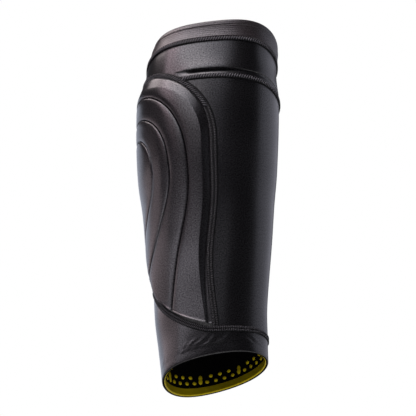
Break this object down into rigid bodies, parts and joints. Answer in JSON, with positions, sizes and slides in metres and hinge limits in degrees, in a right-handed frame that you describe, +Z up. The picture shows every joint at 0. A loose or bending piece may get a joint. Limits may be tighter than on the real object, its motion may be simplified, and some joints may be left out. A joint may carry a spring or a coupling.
{
  "type": "padded leg sleeve",
  "caption": "Black stretch-knit sleeve for the lower leg with an elastic top band, quilted foam shin pad, stitched seams and an ankle cuff with a yellow silicone grip inside its hem.",
  "frame": {"origin": "on the axis of the lower leg, level with the lower hem at the sides, where the grip holds the sleeve on the leg", "axes": "+Z up the leg to the knee, -Y towards the shin, +X to the side of the leg that the picture shows"},
  "size_m": [0.1248, 0.1369, 0.3282],
  "materials": {
    "knit": "fine stretch knit with a soft sheen",
    "pad": "stretch knit over pressed foam",
    "elastic": "ribbed elastic",
    "thread": "overlocked polyester thread",
    "silicone": "semi-gloss silicone"
  },
  "bodies": {
    "root": {"top_band": "elastic", "top_seam": "thread", "collar": "knit", "collar_seam": "thread", "calf_panel": "knit", "shin_pad": "pad", "pad_seam": "thread", "cuff_seam": "thread", "ankle_cuff": "knit", "grip_band": "silicone"}
  },
  "joints": []
}
